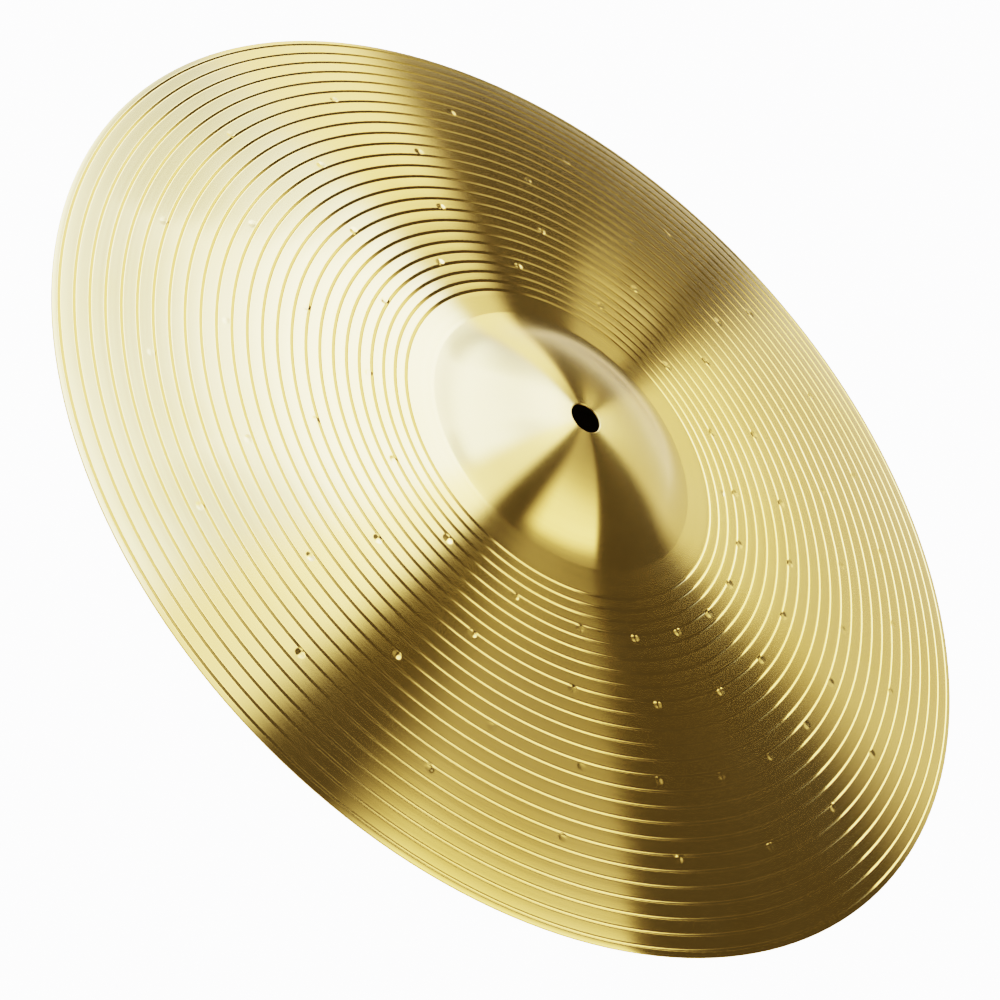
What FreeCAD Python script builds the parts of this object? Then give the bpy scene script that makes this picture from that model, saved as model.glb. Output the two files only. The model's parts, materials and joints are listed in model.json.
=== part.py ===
"""Crash cymbal: one pressed, hammered and lathed brass sheet, 16 in across.

The axis of the cymbal is Z, the origin is on the axis in the plane that the edge rests on,
and the bell points up (+Z). Lengths are in millimetres and angles in degrees.
"""

import FreeCAD, Part
import math
import os

import Sketcher

# Position numbers of a sketch element: its start, its end and its centre.
START = 1
END = 2
CENTRE = 3

# Numbers of the sketch's own origin and vertical axis, as constraints name them.
ORIGIN = -1
UPRIGHT_AXIS = -2

# The driving dimensions: name, value and what it measures.
DIMENSIONS = [
    ("cymbal_diameter", 406.4, "across the edge, 16 in"),
    ("hole_diameter", 12.7, "hole for the stand's rod, 1/2 in"),
    ("sheet_thickness", 0.8, "brass sheet, measured square to its face"),
    ("bell_base_diameter", 114.6, "crease where the bell meets the bow"),
    ("crown_radius", 98.6, "curve of the bell's dome"),
    ("flare_radius", 45.4, "hollow curve round the foot of the bell"),
    ("flare_start_radius", 45.7, "from the axis to where the dome turns into the flare"),
    ("bow_slope", 7.15, "fall of the straight inner part of the bow"),
    ("bow_straight_end_radius", 101.6, "from the axis to where the bow starts to curve"),
    ("bow_radius", 580.0, "curve of the outer part of the bow"),
    ("groove_count", 25, "tonal grooves, an odd number"),
    ("groove_middle_radius", 131.7, "radius of the middle groove"),
    ("groove_pitch", 5.83, "step between grooves near the middle one"),
    ("groove_drift", 0.0201, "how the step opens outward"),
    ("groove_closing", 0.00229, "how the step closes towards both ends"),
    ("groove_tool_radius", 1.4, "nose of the tool that turned the grooves"),
    ("groove_depth", 0.15, "into the top face"),
    ("hammer_ball_radius", 8.0, "face of the hammer"),
    ("hammer_depth", 0.2, "depth of a hammer mark"),
    ("hammer_swing", 18.0, "how far the marks crowd towards the tight side"),
]

# The four rings of hammer marks: radius, number of marks, the azimuth of the side where they
# stand closest, and how far the first mark lies past that side, as a share of the even step.
HAMMER_RINGS = [
    ("first", 84.0, 17, -1.0, -0.1),
    ("second", 110.2, 17, 24.0, 0.54),
    ("third", 139.6, 21, 1.6, -0.02),
    ("fourth", 168.5, 21, 36.8, -0.24),
]


def fill_sheet(document):
    """Put every driving dimension in the spreadsheet, under its own name."""
    sheet = document.addObject("Spreadsheet::Sheet", "Dimensions")
    rows = list(DIMENSIONS)
    for ring, radius, count, tight_side, offset in HAMMER_RINGS:
        rows.append((f"{ring}_ring_radius", radius, f"{ring} ring of hammer marks"))
        rows.append((f"{ring}_ring_marks", count, f"marks in the {ring} ring"))
        rows.append((f"{ring}_ring_tight_side", tight_side, f"azimuth where the {ring} ring is dense"))
        rows.append((f"{ring}_ring_offset", offset, f"first mark of the {ring} ring, in steps"))
    for row, (name, value, note) in enumerate(rows, start=1):
        sheet.set(f"A{row}", name)
        sheet.set(f"B{row}", str(value))
        sheet.set(f"C{row}", note)
        sheet.setAlias(f"B{row}", name)
    document.recompute()
    return sheet


def origin_feature(body, role):
    """The body's own origin plane or axis that has this role."""
    return next(feature for feature in body.Origin.OriginFeatures if feature.Role == role)


def sketch_on_section(body, name):
    """A sketch on the upright half plane through the axis: its x is the radius, its y the height."""
    sketch = body.newObject("Sketcher::SketchObject", name)
    sketch.AttachmentSupport = [(origin_feature(body, "XZ_Plane"), "")]
    sketch.MapMode = "FlatFace"
    return sketch


def drive(sketch, constraint, expression):
    """Add a dimension to the sketch and bind it to the spreadsheet."""
    number = sketch.addConstraint(constraint)
    sketch.setExpression(f"Constraints[{number}]", expression)


def polar_point(centre, radius, lean):
    """The point of a circle that lies this far, in radians, outward from straight up."""
    return centre + FreeCAD.Vector(radius * math.sin(lean), radius * math.cos(lean), 0)


def arc(centre, radius, start_angle, end_angle):
    """A circular arc, anticlockwise from one angle from the x axis to the other."""
    circle = Part.Circle(centre, FreeCAD.Vector(0, 0, 1), radius)
    return Part.ArcOfCircle(circle, start_angle, end_angle)


class Section:
    """Where the curves of the cymbal's section start out, before the sketch's solver holds them."""

    def __init__(self, sheet):
        self.thickness = sheet.sheet_thickness
        self.rim_radius = self.thickness / 2
        self.hole_radius = sheet.hole_diameter / 2
        self.base_radius = sheet.bell_base_diameter / 2
        self.crown_radius = sheet.crown_radius
        self.flare_radius = sheet.flare_radius
        self.bow_radius = sheet.bow_radius
        self.slope = math.radians(sheet.bow_slope)

        # The bow: a straight cone inside, and an arc that carries on from it out to the rim.
        break_radius = sheet.bow_straight_end_radius
        self.rim_centre = FreeCAD.Vector(sheet.cymbal_diameter / 2 - self.rim_radius, self.rim_radius, 0)
        bow_x = break_radius - self.bow_radius * math.sin(self.slope)
        middle_radius = self.bow_radius - self.rim_radius
        self.rim_lean = math.asin((self.rim_centre.x - bow_x) / middle_radius)
        bow_y = self.rim_centre.y - middle_radius * math.cos(self.rim_lean)
        self.bow_centre = FreeCAD.Vector(bow_x, bow_y, 0)
        self.bow_break = polar_point(self.bow_centre, self.bow_radius, self.slope)
        rise = (break_radius - self.base_radius) * math.tan(self.slope)
        self.crease = FreeCAD.Vector(self.base_radius, self.bow_break.y + rise, 0)

        # The bell: a dome centred on the axis, turning into a flare whose centre is outside it.
        self.turn_lean = math.asin(sheet.flare_start_radius / self.crown_radius)
        flare_x = (self.crown_radius + self.flare_radius) * math.sin(self.turn_lean)
        self.crease_lean = math.asin((flare_x - self.base_radius) / self.flare_radius)
        flare_y = self.crease.y + self.flare_radius * math.cos(self.crease_lean)
        self.flare_centre = FreeCAD.Vector(flare_x, flare_y, 0)
        crown_y = flare_y - (self.crown_radius + self.flare_radius) * math.cos(self.turn_lean)
        self.crown_centre = FreeCAD.Vector(0, crown_y, 0)

    def crown(self, depth):
        """The dome's arc, this far below the top face."""
        radius = self.crown_radius - depth
        hole_lean = math.asin(self.hole_radius / radius)
        return arc(self.crown_centre, radius, math.pi / 2 - self.turn_lean, math.pi / 2 - hole_lean)

    def flare(self, depth):
        """The flare's arc, this far below the top face."""
        down = 3 * math.pi / 2
        radius = self.flare_radius + depth
        return arc(self.flare_centre, radius, down - self.turn_lean, down - self.crease_lean)

    def cone(self, depth):
        """The bow's straight part, this far below the top face, from the crease outward."""
        below = polar_point(FreeCAD.Vector(), -depth, self.slope)
        return Part.LineSegment(self.crease + below, self.bow_break + below)

    def bow(self, depth):
        """The bow's arc, this far below the top face."""
        radius = self.bow_radius - depth
        return arc(self.bow_centre, radius, math.pi / 2 - self.rim_lean, math.pi / 2 - self.slope)

    def rim(self):
        """The rounded edge of the sheet, half a turn from the bottom face to the top one."""
        start_angle = -math.pi / 2 - self.rim_lean
        return arc(self.rim_centre, self.rim_radius, start_angle, start_angle + math.pi)

    def hole_wall(self):
        """The wall of the hole, from the bottom face up."""
        ends = []
        for radius in (self.crown_radius - self.thickness, self.crown_radius):
            ends.append(polar_point(self.crown_centre, radius, math.asin(self.hole_radius / radius)))
        return Part.LineSegment(*ends)


def draw_sheet_section(sketch, sheet, section):
    """Draw and dimension the closed section of the whole sheet, hole wall to rim and back."""
    geometry = {
        "hole_wall": section.hole_wall(),
        "top_crown": section.crown(0),
        "top_flare": section.flare(0),
        "top_cone": section.cone(0),
        "top_bow": section.bow(0),
        "rim": section.rim(),
        "under_bow": section.bow(section.thickness),
        "under_cone": section.cone(section.thickness),
        "under_flare": section.flare(section.thickness),
        "under_crown": section.crown(section.thickness),
    }
    number = {name: sketch.addGeometry(shape) for name, shape in geometry.items()}

    # Where one curve runs into the next, smoothly or at a corner.
    joins = [
        ("Coincident", "hole_wall", END, "top_crown", END),
        ("Tangent", "top_crown", START, "top_flare", START),
        ("Coincident", "top_flare", END, "top_cone", START),
        ("Tangent", "top_cone", END, "top_bow", END),
        ("Tangent", "top_bow", START, "rim", END),
        ("Tangent", "rim", START, "under_bow", START),
        ("Tangent", "under_bow", END, "under_cone", END),
        ("Coincident", "under_cone", START, "under_flare", END),
        ("Tangent", "under_flare", START, "under_crown", START),
        ("Coincident", "under_crown", END, "hole_wall", START),
        # The two faces of the sheet run side by side.
        ("Coincident", "top_crown", CENTRE, "under_crown", CENTRE),
        ("Coincident", "top_flare", CENTRE, "under_flare", CENTRE),
        ("Coincident", "top_bow", CENTRE, "under_bow", CENTRE),
    ]
    for kind, first, first_end, second, second_end in joins:
        sketch.addConstraint(
            Sketcher.Constraint(kind, number[first], first_end, number[second], second_end)
        )
    sketch.addConstraint(Sketcher.Constraint("Parallel", number["top_cone"], number["under_cone"]))
    sketch.addConstraint(Sketcher.Constraint("Vertical", number["hole_wall"]))
    sketch.addConstraint(
        Sketcher.Constraint("PointOnObject", number["top_crown"], CENTRE, UPRIGHT_AXIS)
    )

    def radius_of(name, value, expression):
        drive(sketch, Sketcher.Constraint("Radius", number[name], value), expression)

    def from_origin(direction, name, end, value, expression):
        place = Sketcher.Constraint(direction, ORIGIN, START, number[name], end, value)
        drive(sketch, place, expression)

    radius_of("top_crown", section.crown_radius, "Dimensions.crown_radius")
    radius_of(
        "under_crown",
        section.crown_radius - section.thickness,
        "Dimensions.crown_radius - Dimensions.sheet_thickness",
    )
    radius_of("top_flare", section.flare_radius, "Dimensions.flare_radius")
    radius_of("top_bow", section.bow_radius, "Dimensions.bow_radius")
    radius_of(
        "under_bow",
        section.bow_radius - section.thickness,
        "Dimensions.bow_radius - Dimensions.sheet_thickness",
    )
    from_origin(
        "DistanceX", "hole_wall", START, section.hole_radius, "Dimensions.hole_diameter / 2"
    )
    from_origin(
        "DistanceX", "top_flare", START, sheet.flare_start_radius, "Dimensions.flare_start_radius"
    )
    from_origin(
        "DistanceX", "top_cone", START, section.base_radius, "Dimensions.bell_base_diameter / 2"
    )
    from_origin(
        "DistanceX",
        "top_cone",
        END,
        sheet.bow_straight_end_radius,
        "Dimensions.bow_straight_end_radius",
    )
    from_origin(
        "DistanceX",
        "rim",
        CENTRE,
        section.rim_centre.x,
        "(Dimensions.cymbal_diameter - Dimensions.sheet_thickness) / 2",
    )
    from_origin(
        "DistanceY", "rim", CENTRE, section.rim_centre.y, "Dimensions.sheet_thickness / 2"
    )
    fall = Sketcher.Constraint("Angle", number["top_cone"], -section.slope)
    drive(sketch, fall, "-Dimensions.bow_slope * 1 deg")
    return number


def note_bow_place(sketch, number, section):
    """Name the bow's centre and the height of its straight part's end, for what is cut in it."""
    places = [
        ("bow_centre_x", "DistanceX", "top_bow", CENTRE, section.bow_centre.x),
        ("bow_centre_y", "DistanceY", "top_bow", CENTRE, section.bow_centre.y),
        ("bow_break_y", "DistanceY", "top_cone", END, section.bow_break.y),
    ]
    for name, direction, curve, end, value in places:
        place = Sketcher.Constraint(direction, ORIGIN, START, number[curve], end, value)
        constraint = sketch.addConstraint(place)
        sketch.setDriving(constraint, False)
        sketch.renameConstraint(constraint, name)


def add_sheet(body, sheet):
    """The plain pressed sheet: bell, bow, rounded edge and hole, turned in one revolution."""
    sketch = sketch_on_section(body, "sheet_section")
    section = Section(sheet)
    number = draw_sheet_section(sketch, sheet, section)
    note_bow_place(sketch, number, section)
    turned = body.newObject("PartDesign::Revolution", "pressed_sheet")
    turned.Profile = sketch
    turned.ReferenceAxis = (sketch, ["V_Axis"])
    turned.Angle = 360
    return section


def groove_radius(sheet, step):
    """The radius of a tonal groove, this many grooves outward from the middle one."""
    return (
        sheet.groove_middle_radius
        + sheet.groove_pitch * step
        + sheet.groove_drift * step**2
        - sheet.groove_closing * step**3
    )


def groove_expression(step):
    """The same radius as an expression that the sketch can hold."""
    return (
        "Dimensions.groove_middle_radius"
        f" + Dimensions.groove_pitch * ({step})"
        f" + Dimensions.groove_drift * ({step ** 2})"
        f" - Dimensions.groove_closing * ({step ** 3})"
    )


def draw_tool_path(sketch, sheet, section):
    """The two construction curves that the nose of the grooving tool is centred on."""
    height = sheet.groove_tool_radius - sheet.groove_depth
    cone = sketch.addGeometry(section.cone(-height), True)
    bow = sketch.addGeometry(section.bow(-height), True)
    sketch.addConstraint(Sketcher.Constraint("Tangent", cone, END, bow, END))
    drive(sketch, Sketcher.Constraint("Angle", cone, -section.slope), "-Dimensions.bow_slope * 1 deg")
    radius = Sketcher.Constraint("Radius", bow, section.bow_radius + height)
    drive(
        sketch,
        radius,
        "Dimensions.bow_radius + Dimensions.groove_tool_radius - Dimensions.groove_depth",
    )
    for direction, axis in (("DistanceX", "x"), ("DistanceY", "y")):
        value = getattr(section.bow_centre, axis)
        place = Sketcher.Constraint(direction, ORIGIN, START, bow, CENTRE, value)
        drive(sketch, place, f"sheet_section.Constraints.bow_centre_{axis}")
    ends = [
        (cone, section.base_radius, "Dimensions.bell_base_diameter / 2"),
        (bow, sheet.cymbal_diameter / 2, "Dimensions.cymbal_diameter / 2"),
    ]
    for curve, value, expression in ends:
        place = Sketcher.Constraint("DistanceX", ORIGIN, START, curve, START, value)
        drive(sketch, place, expression)
    return cone, bow


def add_tonal_grooves(body, sheet, section):
    """Turn the tonal grooves into the top face, each the print of the same round-nosed tool."""
    sketch = sketch_on_section(body, "groove_tool")
    cone, bow = draw_tool_path(sketch, sheet, section)
    height = sheet.groove_tool_radius - sheet.groove_depth
    half = int(sheet.groove_count) // 2
    first = None
    for step in range(-half, half + 1):
        radius = groove_radius(sheet, step)
        if radius < sheet.bow_straight_end_radius:
            fall = (sheet.bow_straight_end_radius - radius) * math.tan(section.slope)
            level = section.bow_break.y + fall + height / math.cos(section.slope)
            path = cone
        else:
            reach = section.bow_radius + height
            level = section.bow_centre.y + math.sqrt(reach**2 - (radius - section.bow_centre.x) ** 2)
            path = bow
        centre = FreeCAD.Vector(radius, level, 0)
        nose = Part.Circle(centre, FreeCAD.Vector(0, 0, 1), sheet.groove_tool_radius)
        circle = sketch.addGeometry(nose)
        sketch.addConstraint(Sketcher.Constraint("PointOnObject", circle, CENTRE, path))
        place = Sketcher.Constraint("DistanceX", ORIGIN, START, circle, CENTRE, radius)
        drive(sketch, place, groove_expression(step))
        if first is None:
            size = Sketcher.Constraint("Radius", circle, sheet.groove_tool_radius)
            drive(sketch, size, "Dimensions.groove_tool_radius")
            first = circle
        else:
            sketch.addConstraint(Sketcher.Constraint("Equal", first, circle))
    grooves = body.newObject("PartDesign::Groove", "tonal_grooves")
    grooves.Profile = sketch
    grooves.ReferenceAxis = (sketch, ["V_Axis"])
    grooves.Angle = 360


def mark_azimuths(sheet, ring):
    """Where the hammer marks of one ring stand, in degrees round the axis.

    The steps between marks are short on the ring's tight side and long on the other.
    """
    count = int(sheet.get(f"{ring}_ring_marks"))
    tight_side = sheet.get(f"{ring}_ring_tight_side")
    offset = sheet.get(f"{ring}_ring_offset")
    even_step = 360 / count
    azimuths = []
    for mark in range(count):
        even = (mark + offset) * even_step
        azimuths.append(tight_side + even - sheet.hammer_swing * math.sin(math.radians(even)))
    return azimuths


def add_hammer_ring(body, sheet, ring):
    """One ring of hammer marks: the print of a ball, repeated round the axis."""
    azimuths = mark_azimuths(sheet, ring)
    ball = body.newObject("PartDesign::SubtractiveSphere", f"{ring}_ring_mark")
    ball.AttachmentSupport = [(origin_feature(body, "XY_Plane"), "")]
    ball.MapMode = "FlatFace"
    ball.setExpression("Radius", "Dimensions.hammer_ball_radius")
    lift = "(Dimensions.hammer_ball_radius - Dimensions.hammer_depth)"
    reach = f"Dimensions.{ring}_ring_radius"
    if sheet.get(f"{ring}_ring_radius") < sheet.bow_straight_end_radius:
        level = (
            f"sheet_section.Constraints.bow_break_y + {lift} * 1 mm / cos(Dimensions.bow_slope * 1 deg)"
            f" + (Dimensions.bow_straight_end_radius - {reach}) * 1 mm * tan(Dimensions.bow_slope * 1 deg)"
        )
    else:
        level = (
            "sheet_section.Constraints.bow_centre_y"
            f" + sqrt(((Dimensions.bow_radius + {lift}) * 1 mm)^2"
            f" - ({reach} * 1 mm - sheet_section.Constraints.bow_centre_x)^2)"
        )
    ball.setExpression("AttachmentOffset.Base.x", f"{reach} * cos({azimuths[0]} deg)")
    ball.setExpression("AttachmentOffset.Base.y", f"{reach} * sin({azimuths[0]} deg)")
    ball.setExpression("AttachmentOffset.Base.z", level)

    marks = body.newObject("PartDesign::PolarPattern", f"{ring}_ring_marks")
    marks.Originals = [ball]
    marks.Axis = (origin_feature(body, "Z_Axis"), [""])
    marks.Mode = "Spacing"
    marks.setExpression("Occurrences", f"Dimensions.{ring}_ring_marks")
    marks.Spacings = [after - before for before, after in zip(azimuths, azimuths[1:])]
    body.Tip = marks


def check(document, body):
    """Stop if any feature failed, cut nothing or left the body without a sound shape."""
    for feature in document.Objects:
        if "Invalid" in feature.State or "Error" in feature.State:
            raise RuntimeError(f"{feature.Label} failed: {feature.State}")
    faces_before = 0
    for feature in body.Group:
        if feature.isDerivedFrom("PartDesign::Feature"):
            faces = len(feature.Shape.Faces)
            if faces <= faces_before:
                raise RuntimeError(f"{feature.Label} changed nothing")
            faces_before = faces
    if body.Shape.isNull() or not body.Shape.isValid() or len(body.Shape.Solids) != 1:
        raise RuntimeError(f"{body.Label} is not one sound solid")


def main():
    document = FreeCAD.newDocument("crash_cymbal")
    sheet = fill_sheet(document)
    body = document.addObject("PartDesign::Body", "cymbal")
    body.Label = "cymbal"
    body.Placement = FreeCAD.Placement()
    section = add_sheet(body, sheet)
    document.recompute()
    add_tonal_grooves(body, sheet, section)
    for ring, *_ in HAMMER_RINGS:
        add_hammer_ring(body, sheet, ring)
    document.recompute()
    check(document, body)
    os.makedirs("parts", exist_ok=True)
    body.Shape.exportStep(os.path.join("parts", f"{body.Label}.step"))


if __name__ == "__main__":
    main()
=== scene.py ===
import bisect
import json
import math

import bpy
from mathutils import Matrix, Vector


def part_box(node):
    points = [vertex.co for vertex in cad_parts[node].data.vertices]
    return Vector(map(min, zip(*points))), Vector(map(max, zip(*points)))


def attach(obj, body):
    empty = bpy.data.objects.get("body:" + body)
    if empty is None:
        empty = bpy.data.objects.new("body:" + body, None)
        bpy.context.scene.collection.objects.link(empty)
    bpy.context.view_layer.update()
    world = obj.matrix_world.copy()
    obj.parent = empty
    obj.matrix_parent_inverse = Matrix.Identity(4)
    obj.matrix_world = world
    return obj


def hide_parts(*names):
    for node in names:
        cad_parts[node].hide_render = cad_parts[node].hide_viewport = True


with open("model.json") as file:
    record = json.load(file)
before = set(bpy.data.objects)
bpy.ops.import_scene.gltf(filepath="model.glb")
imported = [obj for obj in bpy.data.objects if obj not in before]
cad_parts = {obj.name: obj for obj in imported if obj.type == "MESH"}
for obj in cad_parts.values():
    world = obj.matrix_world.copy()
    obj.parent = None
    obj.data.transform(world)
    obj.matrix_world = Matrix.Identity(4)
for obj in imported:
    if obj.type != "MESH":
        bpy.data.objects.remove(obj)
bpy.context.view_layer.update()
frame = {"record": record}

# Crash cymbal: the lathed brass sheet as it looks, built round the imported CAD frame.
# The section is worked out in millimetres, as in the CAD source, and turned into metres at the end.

MM = 0.001
NODE = "cymbal"

node_low, node_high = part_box(NODE)

# ------------------------------------------------------------------ the sheet's section
EDGE_RADIUS = (node_high.x - node_low.x) / 2 / MM
HOLE_RADIUS = frame["record"]["mounts"][0]["dims"]["r_mm"]
THICKNESS = 0.8
HOLE_ROUND = 0.32
RIM_RADIUS = THICKNESS / 2
BELL_BASE = 57.3
CROWN_RADIUS = 98.6
FLARE_RADIUS = 45.4
FLARE_START = 45.7
BOW_SLOPE = math.radians(7.15)
BOW_STRAIGHT_END = 101.6
BOW_RADIUS = 580.0

# ------------------------------------------------------------------ grooves and hammer marks
GROOVE_COUNT = 25
GROOVE_MIDDLE = 131.7
GROOVE_PITCH = 5.83
GROOVE_DRIFT = 0.0201
GROOVE_CLOSING = 0.00229
GROOVE_DEPTH = 0.025
GROOVE_HALF_WIDTH = 0.8

# How much of a groove's half width is floor, and where its mesh rows lie, as shares of that width.
GROOVE_FLOOR = 0.6
GROOVE_ROWS = (-1.0, -0.7, -0.4, 0.0, 0.4, 0.7, 1.0)

# How far past level, in radians, the shading of a groove's floor leans toward the axis, near the
# bell and at the edge. It was set for this camera and light, not measured.
GROOVE_TILT_INNER = 0.098
GROOVE_TILT_OUTER = 0.134

HAMMER_SWING = 18.0
HAMMER_DEPTH = 0.12

# Rings of marks: radius, number of marks, azimuth of the crowded side, and how far the first
# mark lies past that side, as a share of the even step. The last two come from a least-squares
# fit to the marks in the photograph, and are the same as in the CAD source.
HAMMER_RINGS = [
    (84.0, 17, -1.0, -0.1),
    (110.2, 17, 24.0, 0.54),
    (139.6, 21, 1.6, -0.02),
    (168.5, 21, 36.8, -0.24),
]
STRAY_MARK = (76.8, 42.8)

# The small region where the tool chattered: its middle, its half size in degrees and millimetres,
# how far the grooves swing there, and how fast that swing turns with azimuth and with radius.
CHATTER_AZIMUTH = 53.0
CHATTER_RADIUS = 137.0
CHATTER_HALF = 14.0
CHATTER_SWING = 0.3
CHATTER_TURNS = 26
CHATTER_SLANT = 4

SECTORS = 180
EVEN_COLUMNS = [360 * sector / SECTORS for sector in range(SECTORS)]

# The mesh attribute that says how much of a groove's floor a point is, from 0 to 1.
GROOVE_SHARE = "groove"


class Section:
    """The curves of the sheet's top face, from the hole out to the rim."""

    def __init__(self):
        rim_x = EDGE_RADIUS - RIM_RADIUS
        self.bow_x = BOW_STRAIGHT_END - BOW_RADIUS * math.sin(BOW_SLOPE)
        middle = BOW_RADIUS - RIM_RADIUS
        self.rim_lean = math.asin((rim_x - self.bow_x) / middle)
        self.bow_z = RIM_RADIUS - middle * math.cos(self.rim_lean)
        self.rim_centre = (rim_x, RIM_RADIUS)
        self.break_z = self.bow_z + BOW_RADIUS * math.cos(BOW_SLOPE)
        crease_z = self.break_z + (BOW_STRAIGHT_END - BELL_BASE) * math.tan(BOW_SLOPE)
        turn = math.asin(FLARE_START / CROWN_RADIUS)
        self.flare_x = (CROWN_RADIUS + FLARE_RADIUS) * math.sin(turn)
        reach = self.flare_x - BELL_BASE
        self.flare_z = crease_z + math.sqrt(FLARE_RADIUS**2 - reach**2)
        self.crown_z = self.flare_z - (CROWN_RADIUS + FLARE_RADIUS) * math.cos(turn)
        self.top_end = EDGE_RADIUS - RIM_RADIUS + RIM_RADIUS * math.sin(self.rim_lean)

    def at(self, radius):
        """Height of the top face at a radius, and how far its normal leans outward."""
        if radius < FLARE_START:
            lean = math.asin(radius / CROWN_RADIUS)
            return self.crown_z + CROWN_RADIUS * math.cos(lean), lean
        if radius < BELL_BASE:
            lean = math.asin((self.flare_x - radius) / FLARE_RADIUS)
            return self.flare_z - FLARE_RADIUS * math.cos(lean), lean
        if radius < BOW_STRAIGHT_END:
            return self.break_z + (BOW_STRAIGHT_END - radius) * math.tan(BOW_SLOPE), BOW_SLOPE
        lean = math.asin((radius - self.bow_x) / BOW_RADIUS)
        return self.bow_z + BOW_RADIUS * math.cos(lean), lean


SECTION = Section()


def groove_radii():
    """The radius of every tonal groove, from the bell outward."""
    half = GROOVE_COUNT // 2
    radii = []
    for step in range(-half, half + 1):
        bend = GROOVE_DRIFT * step**2 - GROOVE_CLOSING * step**3
        radii.append(GROOVE_MIDDLE + GROOVE_PITCH * step + bend)
    return radii


GROOVES = groove_radii()


def groove_cut(radius):
    """How deep the tonal grooves are at a radius, and how much of a groove's floor is here."""
    nearest = min(GROOVES, key=lambda groove: abs(groove - radius))
    offset = abs(radius - nearest) / GROOVE_HALF_WIDTH
    if offset >= 1:
        return 0.0, 0.0
    return GROOVE_DEPTH * (1 - offset**2) ** 1.5, min(1.0, (1 - offset) / (1 - GROOVE_FLOOR))


def mark_azimuths(count, tight_side, offset):
    """Where the marks of one ring stand, in degrees: crowded on one side, spread on the other."""
    azimuths = []
    for mark in range(count):
        even = (mark + offset) * 360 / count
        azimuths.append(tight_side + even - HAMMER_SWING * math.sin(math.radians(even)))
    return azimuths


class Band:
    """A ring of the top face that carries hammer marks and is meshed finely round each."""

    def __init__(self, radius, azimuths, depth, half_across, half_along):
        self.radius = radius
        self.azimuths = azimuths
        self.depth = depth
        self.half_across = half_across
        self.half_along = half_along
        self.reach = half_across * 8 / 7
        self.columns = self.fine_columns()

    def fine_columns(self):
        """The azimuths of the mesh's columns: the even ones, and finer ones across each mark."""
        columns = list(EVEN_COLUMNS)
        step = self.half_along / 8
        for azimuth in self.azimuths:
            for number in range(-9, 10):
                column = (azimuth + math.degrees(number * step / self.radius)) % 360
                off_even = (column + 180 / SECTORS) % (360 / SECTORS) - 180 / SECTORS
                if abs(math.radians(off_even)) * self.radius > step / 3:
                    columns.append(column)
        return sorted(columns)

    def dent(self, radius, azimuth):
        """How far the hammer pushed the face down here."""
        cut = 0.0
        for mark in self.azimuths:
            turn = (azimuth - mark + 180) % 360 - 180
            along = math.radians(turn) * self.radius / self.half_along
            across = (radius - self.radius) / self.half_across
            reach = math.hypot(along, across)
            if reach < 1:
                cut += self.depth * (1 - reach**2) ** 2
        return cut


BANDS = [
    Band(radius, mark_azimuths(count, tight_side, offset), HAMMER_DEPTH, 1.8, 2.2)
    for radius, count, tight_side, offset in HAMMER_RINGS
]
BANDS.append(Band(STRAY_MARK[0], [STRAY_MARK[1]], 0.15, 1.0, 1.4))


def wander(radius, azimuth):
    """Sideways wander of the grooves, in millimetres: the tool chattered in one small region."""
    along = (azimuth - CHATTER_AZIMUTH) / CHATTER_HALF
    across = (radius - CHATTER_RADIUS) / CHATTER_HALF
    if abs(along) >= 1 or abs(across) >= 1:
        return 0.0
    window = (1 - along**2) * (1 - across**2)
    turn = math.radians(azimuth * CHATTER_TURNS + radius * CHATTER_SLANT)
    return CHATTER_SWING * window * math.sin(turn)


# ------------------------------------------------------------------ the mesh, row by row


def top_radii():
    """The radii of the top face's rows: wide steps on plain metal, fine ones where it is worked."""
    worked = []
    for groove in GROOVES:
        for share in GROOVE_ROWS:
            worked.append(groove + share * GROOVE_HALF_WIDTH)
    for band in BANDS:
        step = band.half_across / 7
        for number in range(-8, 9):
            worked.append(band.radius + number * step)
    plain = [HOLE_RADIUS + HOLE_ROUND, HOLE_RADIUS + 0.6]
    plain += [8.0 + 1.9 * number for number in range(26)]
    plain += [BELL_BASE - 0.7, BELL_BASE - 0.25, BELL_BASE, BELL_BASE + 0.25, BELL_BASE + 0.7]
    plain += [59.5 + 2.0 * number for number in range(73)]
    rows = []
    for radius in sorted(worked):
        if not rows or radius - rows[-1] > 0.14:
            rows.append(radius)
    for radius in plain:
        place = bisect.bisect(rows, radius)
        near = rows[max(0, place - 1) : place + 1]
        if radius < SECTION.top_end - 0.3 and all(abs(radius - other) > 0.9 for other in near):
            bisect.insort(rows, radius)
        elif radius in (BELL_BASE - 0.25, BELL_BASE, BELL_BASE + 0.25, HOLE_RADIUS + 0.6):
            bisect.insort(rows, radius)
    rows.append(SECTION.top_end)
    return rows


def band_at(radius):
    """The band of hammer marks that holds a radius, if any."""
    for band in BANDS:
        if abs(radius - band.radius) <= band.reach + 0.01:
            return band
    return None


def top_ring(radius):
    """One ring of the top face: its columns' azimuths, its points and its share of groove floor."""
    band = band_at(radius)
    columns = band.columns if band else EVEN_COLUMNS
    height, lean = SECTION.at(radius)
    cut, floor_share = groove_cut(radius)
    points = []
    for azimuth in columns:
        depth = cut + (band.dent(radius, azimuth) if band else 0.0)
        shift = wander(radius, azimuth)
        out = radius - depth * math.sin(lean) + shift
        up = height - depth * math.cos(lean) - shift * math.tan(lean)
        points.append(round_point(out, up, azimuth))
    return columns, points, floor_share


def round_point(out, up, azimuth):
    """The point at this radius, height and azimuth, in metres."""
    angle = math.radians(azimuth)
    return (out * math.cos(angle) * MM, out * math.sin(angle) * MM, up * MM)


def plain_ring(out, up):
    """One even ring at this radius and height."""
    return EVEN_COLUMNS, [round_point(out, up, azimuth) for azimuth in EVEN_COLUMNS], 0.0


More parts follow.
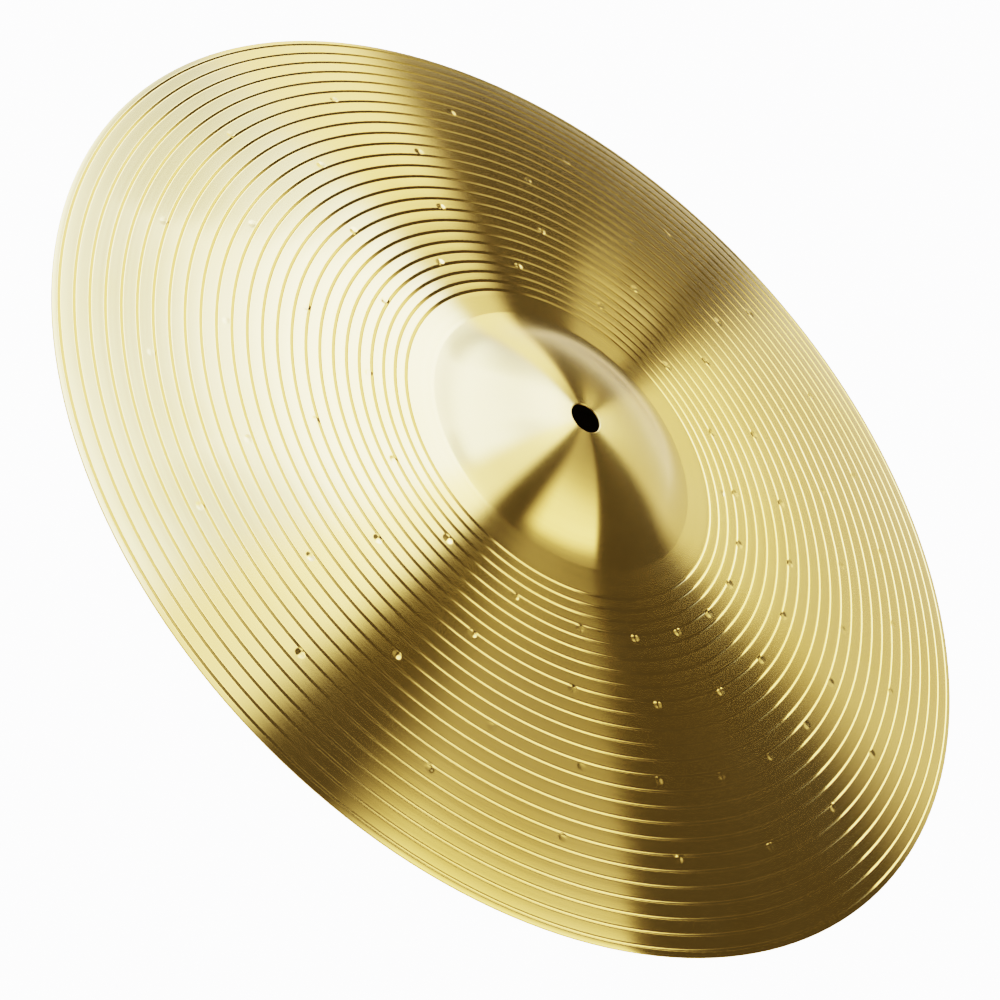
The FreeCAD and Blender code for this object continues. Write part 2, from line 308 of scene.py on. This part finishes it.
def section_rings():
    """All rings, once round the sheet's closed section: top face, rim, underside, hole wall."""
    rings = [top_ring(radius) for radius in top_radii()]

    rim_out, rim_up = SECTION.rim_centre
    rim_steps = 10
    for step in range(1, rim_steps):
        lean = SECTION.rim_lean + math.pi * step / rim_steps
        rings.append(
            plain_ring(rim_out + RIM_RADIUS * math.sin(lean), rim_up + RIM_RADIUS * math.cos(lean))
        )

    under = [SECTION.top_end]
    under += [201.0 - 2.5 * number for number in range(57)]
    under += [BELL_BASE + 0.6, BELL_BASE - 0.6]
    under += [54.5 - 1.9 * number for number in range(25)]
    under += [HOLE_RADIUS + 0.6, HOLE_RADIUS + HOLE_ROUND]
    for radius in under:
        height, lean = SECTION.at(radius)
        rings.append(
            plain_ring(radius - THICKNESS * math.sin(lean), height - THICKNESS * math.cos(lean))
        )

    # The hole's wall, with its two edges rounded.
    top, _ = SECTION.at(HOLE_RADIUS)
    for edge, inward in ((top - THICKNESS, 1), (top, -1)):
        turns = [math.radians(step * 22.5) for step in (1, 2, 3, 4)][::inward]
        for turn in turns:
            chamfer = HOLE_ROUND * (1 - math.sin(turn))
            rings.append(
                plain_ring(HOLE_RADIUS + chamfer, edge + inward * HOLE_ROUND * (1 - math.cos(turn)))
            )
    return rings


def runs(ring):
    """The ring's vertices in each even sector, from one side of the sector to the other."""
    columns, start = ring
    closed = columns + [360.0]
    place = 0
    for end in EVEN_COLUMNS[1:] + [360.0]:
        run = [start + place]
        while place < len(columns) and closed[place + 1] <= end + 1e-9:
            place += 1
            run.append(start + place % len(columns))
        yield run


def bridge(first, second, faces):
    """Fill between two rings. Where one is finer, each of its runs joins one side of the other."""
    columns, start_a = first
    start_b = second[1]
    if columns is second[0]:
        for number in range(len(columns)):
            after = (number + 1) % len(columns)
            faces.append((start_a + number, start_b + number, start_b + after, start_a + after))
        return
    for run_a, run_b in zip(runs(first), runs(second)):
        faces.append(tuple(run_a[::-1] + run_b))


def build_cymbal():
    """The whole cymbal as one closed mesh."""
    rings = section_rings()
    vertices = []
    in_groove = []
    starts = []
    for columns, points, groove in rings:
        starts.append((columns, len(vertices)))
        vertices.extend(points)
        in_groove.extend([groove] * len(points))
    faces = []
    for number, ring in enumerate(starts):
        bridge(ring, starts[(number + 1) % len(starts)], faces)
    mesh = bpy.data.meshes.new("cymbal_brass")
    mesh.from_pydata(vertices, [], faces)
    mesh.attributes.new(GROOVE_SHARE, "FLOAT", "POINT").data.foreach_set("value", in_groove)
    mesh.validate()
    mesh.update()
    mesh.shade_smooth()
    piece = bpy.data.objects.new("cymbal_brass", mesh)
    bpy.context.scene.collection.objects.link(piece)
    return piece


cymbal = build_cymbal()
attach(cymbal, "root")
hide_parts(NODE)


# ------------------------------------------------------------------ brass

BRASS = (0.90, 0.60, 0.175)
TARNISHED = (0.84, 0.53, 0.115)
TARNISH_MOST = 0.4
SMOOTH_RINGS = 0.135
ROUGH_RINGS = 0.15
GROOVE_POLISH = 0.085
BELL_EXTRA = 0.05
BELL_EXTRA_END = 40.0
CUT_EDGE_EXTRA = 0.25
TURNED_END = 18.0
PLAIN_START = 28.0
TURNED_DEPTH = 5.0
BUMP_STRENGTH = 0.025
BUMP_DISTANCE = 0.00004


class Nodes:
    """Short calls for building a node tree."""

    def __init__(self, tree):
        self.tree = tree

    def add(self, kind, **settings):
        node = self.tree.nodes.new(kind)
        for name, value in settings.items():
            setattr(node, name, value)
        return node

    def link(self, output, target):
        self.tree.links.new(output, target)

    def math(self, operation, *values):
        node = self.add("ShaderNodeMath", operation=operation)
        for number, value in enumerate(values):
            if isinstance(value, (int, float)):
                node.inputs[number].default_value = value
            else:
                self.link(value, node.inputs[number])
        return node.outputs[0]

    def scaled(self, colour, factor):
        node = self.add("ShaderNodeVectorMath", operation="SCALE")
        self.link(colour, node.inputs[0])
        self.link(factor, node.inputs["Scale"])
        return node.outputs[0]

    def sum(self, first, second):
        node = self.add("ShaderNodeVectorMath", operation="ADD")
        for socket, value in zip(node.inputs, (first, second)):
            if isinstance(value, tuple):
                socket.default_value = value
            else:
                self.link(value, socket)
        return node.outputs[0]

    def ramp(self, value, low, high, out_low=0.0, out_high=1.0):
        node = self.add("ShaderNodeMapRange", interpolation_type="SMOOTHSTEP")
        self.link(value, node.inputs["Value"])
        node.inputs["From Min"].default_value = low
        node.inputs["From Max"].default_value = high
        node.inputs["To Min"].default_value = out_low
        node.inputs["To Max"].default_value = out_high
        return node.outputs["Result"]

    def radius(self, place):
        """Distance from the cymbal's axis."""
        split = self.add("ShaderNodeSeparateXYZ")
        self.link(place, split.inputs[0])
        squares = [self.math("MULTIPLY", split.outputs[axis], split.outputs[axis]) for axis in "XY"]
        return self.math("SQRT", self.math("ADD", *squares))

    def lines(self, radius, per_metre, detail=2.0):
        """Noise that changes only with the radius, so it draws rings."""
        node = self.add("ShaderNodeTexNoise", noise_dimensions="1D")
        self.link(radius, node.inputs["W"])
        node.inputs["Scale"].default_value = per_metre
        node.inputs["Detail"].default_value = detail
        return node.outputs[0]

    def mix_colour(self, share, first, second):
        node = self.add("ShaderNodeMix", data_type="RGBA")
        self.link(share, node.inputs["Factor"])
        for socket, value in ((node.inputs[6], first), (node.inputs[7], second)):
            if isinstance(value, tuple):
                socket.default_value = (*value, 1.0)
            else:
                self.link(value, socket)
        return node.outputs[2]


def brass_material():
    """Lathed brass: rings of fine tool lines, slight colour drift, a satin anisotropic gloss."""
    material = bpy.data.materials.new("lathed_brass")
    material.use_nodes = True
    nodes = Nodes(material.node_tree)
    shader = material.node_tree.nodes["Principled BSDF"]
    place = nodes.add("ShaderNodeTexCoord")
    radius = nodes.radius(place.outputs["Object"])

    broad = nodes.add("ShaderNodeTexNoise")
    nodes.link(place.outputs["Object"], broad.inputs["Vector"])
    broad.inputs["Scale"].default_value = 14.0
    broad.inputs["Detail"].default_value = 3.0
    rings = nodes.lines(radius, 900.0)
    fine_rings = nodes.lines(radius, 2200.0)

    tarnish = nodes.ramp(broad.outputs[0], 0.4, 0.72, 0.0, TARNISH_MOST)
    colour = nodes.mix_colour(tarnish, BRASS, TARNISHED)
    nodes.link(colour, shader.inputs["Base Color"])
    shader.inputs["Metallic"].default_value = 1.0
    shader.inputs["Anisotropic"].default_value = 1.0
    shader.inputs["Anisotropic Rotation"].default_value = 0.25
    groove = nodes.add("ShaderNodeAttribute", attribute_name=GROOVE_SHARE).outputs["Fac"]
    polish = nodes.math("MULTIPLY", groove, GROOVE_POLISH)
    ringed = nodes.ramp(rings, 0.3, 0.7, SMOOTH_RINGS, ROUGH_RINGS)
    satin = nodes.math("SUBTRACT", ringed, polish)
    bell_satin = nodes.ramp(radius, BELL_EXTRA_END * MM, BELL_BASE * MM, BELL_EXTRA, 0.0)
    edge_end = (HOLE_RADIUS + HOLE_ROUND) * MM
    cut_edge = nodes.ramp(radius, HOLE_RADIUS * MM, edge_end, CUT_EDGE_EXTRA, 0.0)
    roughness = nodes.math("ADD", satin, nodes.math("ADD", bell_satin, cut_edge))
    nodes.link(roughness, shader.inputs["Roughness"])
    tangent = nodes.add("ShaderNodeTangent", direction_type="RADIAL", axis="Z")
    nodes.link(tangent.outputs[0], shader.inputs["Tangent"])

    bump = nodes.add("ShaderNodeBump")
    bump.inputs["Strength"].default_value = BUMP_STRENGTH
    bump.inputs["Distance"].default_value = BUMP_DISTANCE
    turned = nodes.ramp(radius, TURNED_END * MM, PLAIN_START * MM, TURNED_DEPTH, 1.0)
    nodes.link(nodes.math("MULTIPLY", fine_rings, turned), bump.inputs["Height"])

    # The mesh's grooves are too shallow to catch the light as the real ones do, so the shading of
    # their floors leans toward the axis. This is in the material only, not in the mesh.
    lean = nodes.add("ShaderNodeMapRange")
    nodes.link(radius, lean.inputs["Value"])
    lean.inputs["From Min"].default_value = BOW_STRAIGHT_END * MM
    lean.inputs["From Max"].default_value = EDGE_RADIUS * MM
    lean.inputs["To Min"].default_value = -(BOW_SLOPE + GROOVE_TILT_INNER)
    lean.inputs["To Max"].default_value = -(SECTION.rim_lean + GROOVE_TILT_OUTER)
    outward = nodes.add("ShaderNodeVectorMath", operation="MULTIPLY")
    nodes.link(place.outputs["Object"], outward.inputs[0])
    outward.inputs[1].default_value = (1.0, 1.0, 0.0)
    share = nodes.math("DIVIDE", nodes.math("MULTIPLY", groove, lean.outputs[0]), radius)
    leaning = nodes.sum(bump.outputs[0], nodes.scaled(outward.outputs[0], share))
    level = nodes.add("ShaderNodeVectorMath", operation="NORMALIZE")
    nodes.link(leaning, level.inputs[0])
    nodes.link(level.outputs[0], shader.inputs["Normal"])
    return material


cymbal.data.materials.append(brass_material())

# ------------------------------------------------------------------ floor, light and camera

ELEVATION = math.radians(38.44)
ROLL = math.radians(46.37)
DISTANCE = 2.032
AIM_SHORT = 0.0162
STUDIO_DIM = 0.09
STUDIO_PALE = 3.0
FLOOR_GLOW = 1.0
FLOOR_SEEN = 6.0
NEAR_AZIMUTH = math.radians(215)
NEAR_SHIFT = 0.34
NEAR_DISTANCE = 1.0
NEAR_GLOW = 1.5
NEAR_SIZE = 0.42
NEAR_COLOUR = (0.72, 0.9, 1.7)
LENS = 195.6
SENSOR_WIDTH = 36.0
FLOOR_HALF = 12.0


def studio_floor():
    """A plain pale floor under the whole view, with painted shade where the cymbal covers it."""
    half = FLOOR_HALF
    level = node_low.z - 0.0002
    corners = [(-half, -half, level), (half, -half, level), (half, half, level), (-half, half, level)]
    mesh = bpy.data.meshes.new("floor")
    mesh.from_pydata(corners, [], [(0, 1, 2, 3)])
    floor = bpy.data.objects.new("floor", mesh)
    bpy.context.scene.collection.objects.link(floor)
    material = bpy.data.materials.new("pale_floor")
    material.use_nodes = True
    nodes = Nodes(material.node_tree)
    shader = material.node_tree.nodes["Principled BSDF"]
    radius = nodes.radius(nodes.add("ShaderNodeTexCoord").outputs["Object"])
    # Painted shade: within the cymbal's reach the floor is painted dark and gets no glow, fading out
    # toward the rim. It stands in for the shade under the cymbal, seen through its hole.
    floor_outside_painted_shade = nodes.ramp(radius, 0.6 * EDGE_RADIUS * MM, EDGE_RADIUS * MM)
    floor_colour_with_painted_shade = nodes.mix_colour(floor_outside_painted_shade, (0.05, 0.05, 0.05), (0.3, 0.3, 0.3))
    nodes.link(floor_colour_with_painted_shade, shader.inputs["Base Color"])
    shader.inputs["Roughness"].default_value = 0.9
    shader.inputs["Emission Color"].default_value = (1.0, 1.0, 1.0, 1.0)
    seen = nodes.add("ShaderNodeLightPath").outputs["Is Camera Ray"]
    glow = nodes.ramp(seen, 0.0, 1.0, FLOOR_GLOW, FLOOR_SEEN)
    nodes.link(nodes.math("MULTIPLY", floor_outside_painted_shade, glow), shader.inputs["Emission Strength"])
    mesh.materials.append(material)


# The colours of the studio's light: the large box is a cool daylight one.
COOL = (0.78, 1.0, 1.75)
PALE = (0.95, 1.0, 1.15)
NEUTRAL = (1.0, 1.0, 1.0)

# The studio's light boxes, each a sector of the sky: its colour, its first and last azimuth with
# how soft each edge is, and how bright it is at some shifts. Flat metal mirrors one point of the
# sky to the camera. Metal that faces some azimuth mirrors what lies from that point toward it, by a
# shift that grows as the metal leans. The values were set by comparing renders with the
# photograph, after a least-squares fit had shown roughly where the light lies. They only reproduce
# how it falls in this one view.
LIGHT_BOXES = [
    (NEUTRAL, (175, 1), (264, 4), [(0.03, 0.0), (0.05, 2.8), (0.12, 2.8), (0.14, 0.0), (1.0, 0.0)]),
    (
        COOL, (170, 5), (250, 6),
        [(0.11, 0.0), (0.14, 5.0), (0.27, 2.2), (0.45, 0.8), (0.6, 4.0), (0.95, 4.0), (1.2, 0.7)],
    ),
    (
        PALE, (250, 6), (268, 4),
        [(0.11, 0.0), (0.14, 3.2), (0.25, 2.9), (0.45, 1.8), (0.95, 2.0), (1.2, 0.7)],
    ),
    (NEUTRAL, (150, 5), (170, 5), [(0.14, 0.0), (0.2, 2.2), (0.6, 1.4)]),
    (NEUTRAL, (138, 5), (150, 5), [(0.26, 0.0), (0.36, 0.55), (0.6, 0.55)]),
    (
        NEUTRAL, (286, 6), (319.5, 1),
        [(0.12, 0.0), (0.18, 0.2), (0.5, 0.26), (0.65, 2.6), (0.95, 2.6), (1.2, 0.7)],
    ),
    (NEUTRAL, (281, 1), (311, 3), [(0.03, 0.0), (0.05, 0.6), (0.11, 0.6), (0.13, 0.0), (1.0, 0.0)]),
    (
        NEUTRAL, (6, 9), (84, 6),
        [(0.03, 0.0), (0.05, 1.8), (0.12, 1.6), (0.16, 0.6), (0.3, 0.68), (0.6, 0.9)],
    ),
    (NEUTRAL, (96, 1), (121, 2), [(0.05, 0.0), (0.07, 2.3), (0.11, 2.3), (0.13, 0.0), (1.0, 0.0)]),
]


def light_box(nodes, azimuth, shift, box):
    """The colour and brightness of one light box at each azimuth and shift."""
    tint, (first, first_soft), (last, last_soft), profile = box
    middle = math.radians((first + last) / 2)
    half = math.radians((last - first) / 2)
    aside = nodes.math("WRAP", nodes.math("SUBTRACT", azimuth, middle), math.pi, -math.pi)
    soft = math.radians(first_soft)
    past_first = nodes.ramp(aside, -half - soft, -half + soft)
    soft = math.radians(last_soft)
    before_last = nodes.ramp(aside, half - soft, half + soft, 1.0, 0.0)
    reach = profile[-1][0]
    peak = max(tint) * max(glow for _, glow in profile)
    fall = nodes.add("ShaderNodeValToRGB")
    stops = fall.color_ramp.elements
    stops.remove(stops[1])
    for number, (place, glow) in enumerate(profile):
        stop = stops.new(place / reach) if number else stops[0]
        stop.position = place / reach
        stop.color = (*(glow * share / peak for share in tint), 1.0)
    nodes.link(nodes.math("DIVIDE", shift, reach), fall.inputs[0])
    inside = nodes.math("MULTIPLY", past_first, before_last)
    return nodes.scaled(fall.outputs[0], nodes.math("MULTIPLY", inside, peak))


def studio_sky():
    """A dim sky with the light boxes on it, which the camera itself sees as plain white."""
    world = bpy.data.worlds.new("studio")
    bpy.context.scene.world = world
    world.use_nodes = True
    nodes = Nodes(world.node_tree)
    split = nodes.add("ShaderNodeSeparateXYZ")
    nodes.link(nodes.add("ShaderNodeTexCoord").outputs["Generated"], split.inputs[0])
    side = split.outputs["X"]
    ahead = nodes.math("SUBTRACT", split.outputs["Y"], math.cos(ELEVATION))
    azimuth = nodes.math("ARCTAN2", ahead, side)
    squares = [nodes.math("MULTIPLY", part, part) for part in (side, ahead)]
    shift = nodes.math("SQRT", nodes.math("ADD", *squares))
    light = (STUDIO_DIM, STUDIO_DIM, STUDIO_DIM)
    for box in LIGHT_BOXES:
        light = nodes.sum(light, light_box(nodes, azimuth, shift, box))
    seen = nodes.add("ShaderNodeLightPath").outputs["Is Camera Ray"]
    shown = nodes.mix_colour(seen, light, (STUDIO_PALE, STUDIO_PALE, STUDIO_PALE))
    nodes.link(shown, world.node_tree.nodes["Background"].inputs["Color"])


def near_light():
    """A soft box close to the cymbal, which whitens the bell and the metal round it."""
    light = bpy.data.lights.new("near_light", "AREA")
    light.shape = "RECTANGLE"
    light.size = NEAR_SIZE
    light.size_y = NEAR_SIZE
    light.color = NEAR_COLOUR
    light.energy = NEAR_GLOW * math.pi * light.size * light.size_y
    box = bpy.data.objects.new("near_light", light)
    out = Vector((math.cos(NEAR_AZIMUTH), math.sin(NEAR_AZIMUTH), 0))
    level = Vector((0, math.cos(ELEVATION), 0)) + out * NEAR_SHIFT
    back = Vector((level.x, level.y, math.sqrt(1 - level.length_squared)))
    across = Vector((-out.y, out.x, 0))
    side = (across - back * back.dot(across)).normalized()
    turn = Matrix((side, back.cross(side), back)).transposed().to_quaternion()
    box.matrix_world = Matrix.LocRotScale(back * NEAR_DISTANCE, turn, None)
    bpy.context.scene.collection.objects.link(box)


studio_floor()
studio_sky()
near_light()

bpy.context.scene.view_settings.view_transform = "Filmic"
bpy.context.scene.view_settings.look = "High Contrast"

camera_data = bpy.data.cameras.new("camera")
camera_data.lens = LENS
camera_data.sensor_width = SENSOR_WIDTH
camera = bpy.data.objects.new("camera", camera_data)
bpy.context.scene.collection.objects.link(camera)
toward_camera = Vector((0.0, -math.cos(ELEVATION), math.sin(ELEVATION)))
edge_centre = Vector((0.0, 0.0, RIM_RADIUS * MM))
camera.location = edge_centre + toward_camera * DISTANCE
aim_point = edge_centre + Vector((0.0, -AIM_SHORT, 0.0))
camera.rotation_mode = "QUATERNION"
aim = (aim_point - camera.location).to_track_quat("-Z", "Y")
camera.rotation_quaternion = aim @ Matrix.Rotation(ROLL, 3, "Z").to_quaternion()
bpy.context.scene.camera = camera
